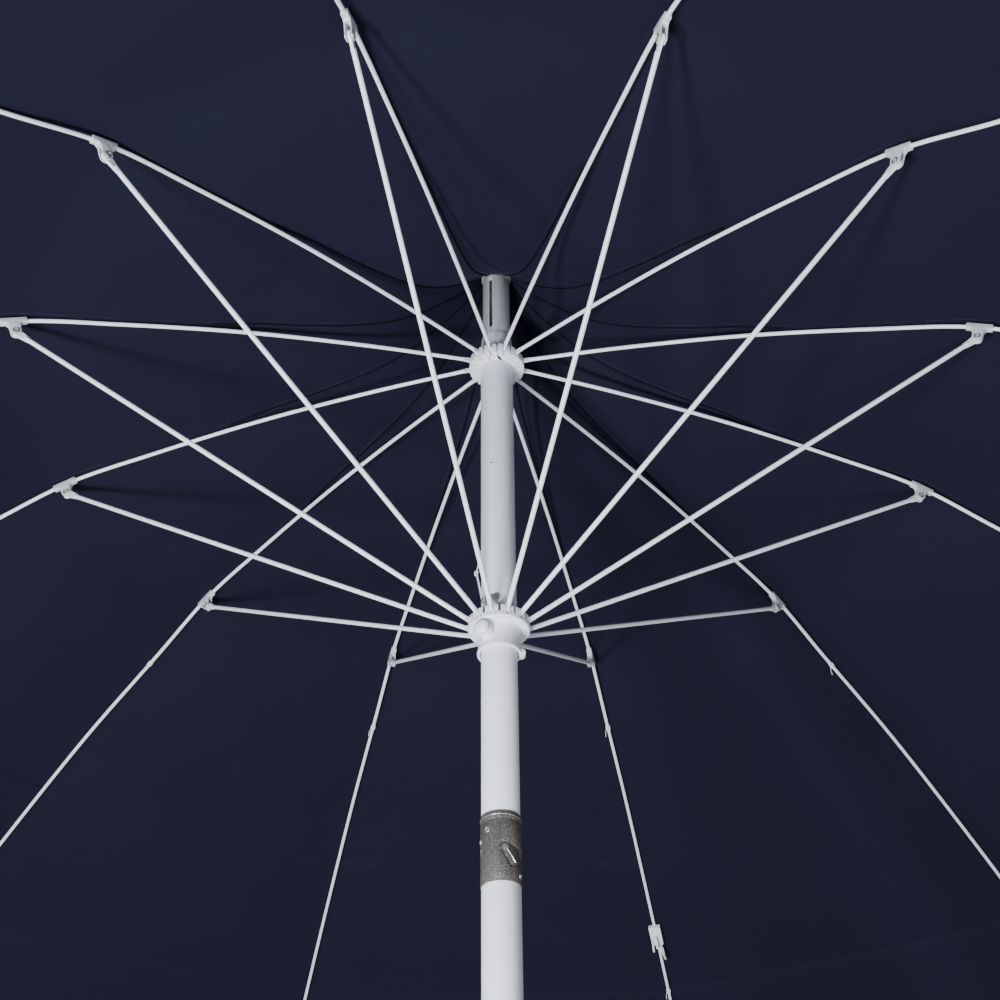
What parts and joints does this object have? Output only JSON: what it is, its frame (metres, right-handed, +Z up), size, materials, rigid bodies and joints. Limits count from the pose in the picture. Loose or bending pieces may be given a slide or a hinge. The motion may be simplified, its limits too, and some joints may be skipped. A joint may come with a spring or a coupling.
{
  "type": "patio umbrella with base",
  "caption": "Round tilting centre-pole garden umbrella: ribs and stretchers fold on a sliding runner, a cloth canopy on top and a heavy stone base with a clamped socket below.",
  "frame": {"origin": "on the ground, under the middle of the mast", "axes": "+Z up along the mast, the first rib 15 degrees from +X towards -Y, and the tilt lever facing -Y"},
  "size_m": [2.601, 2.601, 2.5],
  "materials": {
    "black_rubber": "moulded, matt",
    "cast_stone": "cast and lightly ground",
    "white_steel": "white powder coat, satin",
    "clip_steel": "white paint over pressed steel",
    "dark_plastic": "moulded, fine grain",
    "hammered_metal": "grey hammer finish",
    "bright_steel": "plated, bright",
    "grey_aluminium": "satin anodised",
    "white_plastic": "moulded, satin",
    "navy_cloth": "plain-weave polyester, matt"
  },
  "bodies": {
    "base": {"base_pad": "black_rubber", "base_plate": "cast_stone", "base_socket": "white_steel", "base_bush": "dark_plastic"},
    "clamp_knob": {"base_knob": "dark_plastic"},
    "lower_mast": {"lower_pole": "white_steel", "knuckle_body": "hammered_metal", "tilt_pin": "bright_steel", "lever_screw": "bright_steel"},
    "lever": {"tilt_lever": "bright_steel"},
    "upper_mast": {"knuckle_cap": "hammered_metal", "upper_pole": "white_steel", "hub": "white_plastic", "hub_wire": "bright_steel", "hub_collar": "white_plastic", "top_tube": "grey_aluminium", "finial": "white_plastic", "canopy": "navy_cloth"},
    "runner": {"runner": "white_plastic", "runner_wire": "bright_steel"},
    "button": {"runner_button": "white_plastic"},
    "stop_pin": {"stop_pin": "bright_steel"},
    "catch": {"catch_leaf": "white_steel"},
    "rib_01": {"rib_01": "white_steel", "rib_clip_01": "clip_steel"},
    "stretcher_01": {"stretcher_01": "white_steel"},
    "rib_02": {"rib_02": "white_steel", "rib_clip_02": "clip_steel"},
    "stretcher_02": {"stretcher_02": "white_steel"},
    "rib_03": {"rib_03": "white_steel", "rib_clip_03": "clip_steel"},
    "stretcher_03": {"stretcher_03": "white_steel"},
    "rib_04": {"rib_04": "white_steel", "rib_clip_04": "clip_steel", "strap_clip": "white_plastic"},
    "stretcher_04": {"stretcher_04": "white_steel"},
    "rib_05": {"rib_05": "white_steel", "rib_clip_05": "clip_steel"},
    "stretcher_05": {"stretcher_05": "white_steel"},
    "rib_06": {"rib_06": "white_steel", "rib_clip_06": "clip_steel"},
    "stretcher_06": {"stretcher_06": "white_steel"},
    "rib_07": {"rib_07": "white_steel", "rib_clip_07": "clip_steel"},
    "stretcher_07": {"stretcher_07": "white_steel"},
    "rib_08": {"rib_08": "white_steel", "rib_clip_08": "clip_steel"},
    "stretcher_08": {"stretcher_08": "white_steel"},
    "rib_09": {"rib_09": "white_steel", "rib_clip_09": "clip_steel"},
    "stretcher_09": {"stretcher_09": "white_steel"},
    "rib_10": {"rib_10": "white_steel", "rib_clip_10": "clip_steel"},
    "stretcher_10": {"stretcher_10": "white_steel"},
    "rib_11": {"rib_11": "white_steel", "rib_clip_11": "clip_steel"},
    "stretcher_11": {"stretcher_11": "white_steel"},
    "rib_12": {"rib_12": "white_steel", "rib_clip_12": "clip_steel"},
    "stretcher_12": {"stretcher_12": "white_steel"}
  },
  "joints": [
    {"name": "mast_turn", "type": "hinge", "parent": "base", "child": "lower_mast", "pos_m": [0, 0, 0.36], "axis": [0, 0, 1], "continuous": true},
    {"name": "clamp_knob_turn", "type": "hinge", "parent": "base", "child": "clamp_knob", "pos_m": [0.0225, -0.03897, 0.3], "axis": [0.5, -0.866, 0], "continuous": true},
    {"name": "tilt", "type": "hinge", "parent": "lower_mast", "child": "upper_mast", "pos_m": [0, 0, 1.671], "axis": [-0.9781, -0.2079, 0], "range_deg": [0, 35]},
    {"name": "tilt_lever_turn", "type": "hinge", "parent": "lower_mast", "child": "lever", "pos_m": [0.00395, -0.01859, 1.671], "axis": [0.2079, -0.9781, 0], "range_deg": [0, 20], "stiffness_Nm_per_rad": 0.05, "springref_deg": -11.46},
    {"name": "runner_slide", "type": "slide", "parent": "upper_mast", "child": "runner", "axis": [0, 0, 1], "range_m": [-0.71523, 0], "deforming": ["canopy"]},
    {"name": "runner_button_press", "type": "slide", "parent": "runner", "child": "button", "axis": [0.6018, 0.7986, 0], "range_m": [0, 0.0025], "stiffness_N_per_m": 300, "springref_m": -0.002},
    {"name": "stop_pin_pull", "type": "slide", "parent": "upper_mast", "child": "stop_pin", "axis": [-0.2419, -0.9703, 0], "range_m": [0, 0.02]},
    {"name": "catch_press", "type": "hinge", "parent": "upper_mast", "child": "catch", "pos_m": [-0.018, 0.00031, 2.0345], "axis": [-0.0175, -0.9998, 0], "range_deg": [0, 8], "stiffness_Nm_per_rad": 0.2, "springref_deg": -11.46},
    {"name": "rib_fold_01", "type": "hinge", "parent": "upper_mast", "child": "rib_01", "pos_m": [0.02705, -0.00725, 2.308], "axis": [0.2588, 0.9659, 0], "range_deg": [0, 67.01]},
    {"name": "stretcher_fold_01", "type": "hinge", "parent": "rib_01", "child": "stretcher_01", "pos_m": [0.5274, -0.14131, 2.221], "axis": [-0.2588, -0.9659, 0], "range_deg": [0, 115.96]},
    {"name": "rib_fold_02", "type": "hinge", "parent": "upper_mast", "child": "rib_02", "pos_m": [0.02705, 0.00725, 2.308], "axis": [-0.2588, 0.9659, 0], "range_deg": [0, 67.01]},
    {"name": "stretcher_fold_02", "type": "hinge", "parent": "rib_02", "child": "stretcher_02", "pos_m": [0.5274, 0.14131, 2.221], "axis": [0.2588, -0.9659, 0], "range_deg": [0, 115.96]},
    {"name": "rib_fold_03", "type": "hinge", "parent": "upper_mast", "child": "rib_03", "pos_m": [0.0198, 0.0198, 2.308], "axis": [-0.7071, 0.7071, 0], "range_deg": [0, 67.01]},
    {"name": "stretcher_fold_03", "type": "hinge", "parent": "rib_03", "child": "stretcher_03", "pos_m": [0.38608, 0.38608, 2.221], "axis": [0.7071, -0.7071, 0], "range_deg": [0, 115.96]},
    {"name": "rib_fold_04", "type": "hinge", "parent": "upper_mast", "child": "rib_04", "pos_m": [0.00725, 0.02705, 2.308], "axis": [-0.9659, 0.2588, 0], "range_deg": [0, 67.01]},
    {"name": "stretcher_fold_04", "type": "hinge", "parent": "rib_04", "child": "stretcher_04", "pos_m": [0.14131, 0.5274, 2.221], "axis": [0.9659, -0.2588, 0], "range_deg": [0, 115.96]},
    {"name": "rib_fold_05", "type": "hinge", "parent": "upper_mast", "child": "rib_05", "pos_m": [-0.00725, 0.02705, 2.308], "axis": [-0.9659, -0.2588, 0], "range_deg": [0, 67.01]},
    {"name": "stretcher_fold_05", "type": "hinge", "parent": "rib_05", "child": "stretcher_05", "pos_m": [-0.14131, 0.5274, 2.221], "axis": [0.9659, 0.2588, 0], "range_deg": [0, 115.96]},
    {"name": "rib_fold_06", "type": "hinge", "parent": "upper_mast", "child": "rib_06", "pos_m": [-0.0198, 0.0198, 2.308], "axis": [-0.7071, -0.7071, 0], "range_deg": [0, 67.01]},
    {"name": "stretcher_fold_06", "type": "hinge", "parent": "rib_06", "child": "stretcher_06", "pos_m": [-0.38608, 0.38608, 2.221], "axis": [0.7071, 0.7071, 0], "range_deg": [0, 115.96]},
    {"name": "rib_fold_07", "type": "hinge", "parent": "upper_mast", "child": "rib_07", "pos_m": [-0.02705, 0.00725, 2.308], "axis": [-0.2588, -0.9659, 0], "range_deg": [0, 67.01]},
    {"name": "stretcher_fold_07", "type": "hinge", "parent": "rib_07", "child": "stretcher_07", "pos_m": [-0.5274, 0.14131, 2.221], "axis": [0.2588, 0.9659, 0], "range_deg": [0, 115.96]},
    {"name": "rib_fold_08", "type": "hinge", "parent": "upper_mast", "child": "rib_08", "pos_m": [-0.02705, -0.00725, 2.308], "axis": [0.2588, -0.9659, 0], "range_deg": [0, 67.01]},
    {"name": "stretcher_fold_08", "type": "hinge", "parent": "rib_08", "child": "stretcher_08", "pos_m": [-0.5274, -0.14131, 2.221], "axis": [-0.2588, 0.9659, 0], "range_deg": [0, 115.96]},
    {"name": "rib_fold_09", "type": "hinge", "parent": "upper_mast", "child": "rib_09", "pos_m": [-0.0198, -0.0198, 2.308], "axis": [0.7071, -0.7071, 0], "range_deg": [0, 67.01]},
    {"name": "stretcher_fold_09", "type": "hinge", "parent": "rib_09", "child": "stretcher_09", "pos_m": [-0.38608, -0.38608, 2.221], "axis": [-0.7071, 0.7071, 0], "range_deg": [0, 115.96]},
    {"name": "rib_fold_10", "type": "hinge", "parent": "upper_mast", "child": "rib_10", "pos_m": [-0.00725, -0.02705, 2.308], "axis": [0.9659, -0.2588, 0], "range_deg": [0, 67.01]},
    {"name": "stretcher_fold_10", "type": "hinge", "parent": "rib_10", "child": "stretcher_10", "pos_m": [-0.14131, -0.5274, 2.221], "axis": [-0.9659, 0.2588, 0], "range_deg": [0, 115.96]},
    {"name": "rib_fold_11", "type": "hinge", "parent": "upper_mast", "child": "rib_11", "pos_m": [0.00725, -0.02705, 2.308], "axis": [0.9659, 0.2588, 0], "range_deg": [0, 67.01]},
    {"name": "stretcher_fold_11", "type": "hinge", "parent": "rib_11", "child": "stretcher_11", "pos_m": [0.14131, -0.5274, 2.221], "axis": [-0.9659, -0.2588, 0], "range_deg": [0, 115.96]},
    {"name": "rib_fold_12", "type": "hinge", "parent": "upper_mast", "child": "rib_12", "pos_m": [0.0198, -0.0198, 2.308], "axis": [0.7071, 0.7071, 0], "range_deg": [0, 67.01]},
    {"name": "stretcher_fold_12", "type": "hinge", "parent": "rib_12", "child": "stretcher_12", "pos_m": [0.38608, -0.38608, 2.221], "axis": [-0.7071, -0.7071, 0], "range_deg": [0, 115.96]}
  ],
  "couplings": [
    {"joint": "rib_fold_01", "follows": "runner_slide", "rad_per_m": -1.635},
    {"joint": "stretcher_fold_01", "follows": "runner_slide", "rad_per_m": -2.8293},
    {"joint": "rib_fold_02", "follows": "runner_slide", "rad_per_m": -1.635},
    {"joint": "stretcher_fold_02", "follows": "runner_slide", "rad_per_m": -2.8293},
    {"joint": "rib_fold_03", "follows": "runner_slide", "rad_per_m": -1.635},
    {"joint": "stretcher_fold_03", "follows": "runner_slide", "rad_per_m": -2.8293},
    {"joint": "rib_fold_04", "follows": "runner_slide", "rad_per_m": -1.635},
    {"joint": "stretcher_fold_04", "follows": "runner_slide", "rad_per_m": -2.8293},
    {"joint": "rib_fold_05", "follows": "runner_slide", "rad_per_m": -1.635},
    {"joint": "stretcher_fold_05", "follows": "runner_slide", "rad_per_m": -2.8293},
    {"joint": "rib_fold_06", "follows": "runner_slide", "rad_per_m": -1.635},
    {"joint": "stretcher_fold_06", "follows": "runner_slide", "rad_per_m": -2.8293},
    {"joint": "rib_fold_07", "follows": "runner_slide", "rad_per_m": -1.635},
    {"joint": "stretcher_fold_07", "follows": "runner_slide", "rad_per_m": -2.8293},
    {"joint": "rib_fold_08", "follows": "runner_slide", "rad_per_m": -1.635},
    {"joint": "stretcher_fold_08", "follows": "runner_slide", "rad_per_m": -2.8293},
    {"joint": "rib_fold_09", "follows": "runner_slide", "rad_per_m": -1.635},
    {"joint": "stretcher_fold_09", "follows": "runner_slide", "rad_per_m": -2.8293},
    {"joint": "rib_fold_10", "follows": "runner_slide", "rad_per_m": -1.635},
    {"joint": "stretcher_fold_10", "follows": "runner_slide", "rad_per_m": -2.8293},
    {"joint": "rib_fold_11", "follows": "runner_slide", "rad_per_m": -1.635},
    {"joint": "stretcher_fold_11", "follows": "runner_slide", "rad_per_m": -2.8293},
    {"joint": "rib_fold_12", "follows": "runner_slide", "rad_per_m": -1.635},
    {"joint": "stretcher_fold_12", "follows": "runner_slide", "rad_per_m": -2.8293}
  ]
}
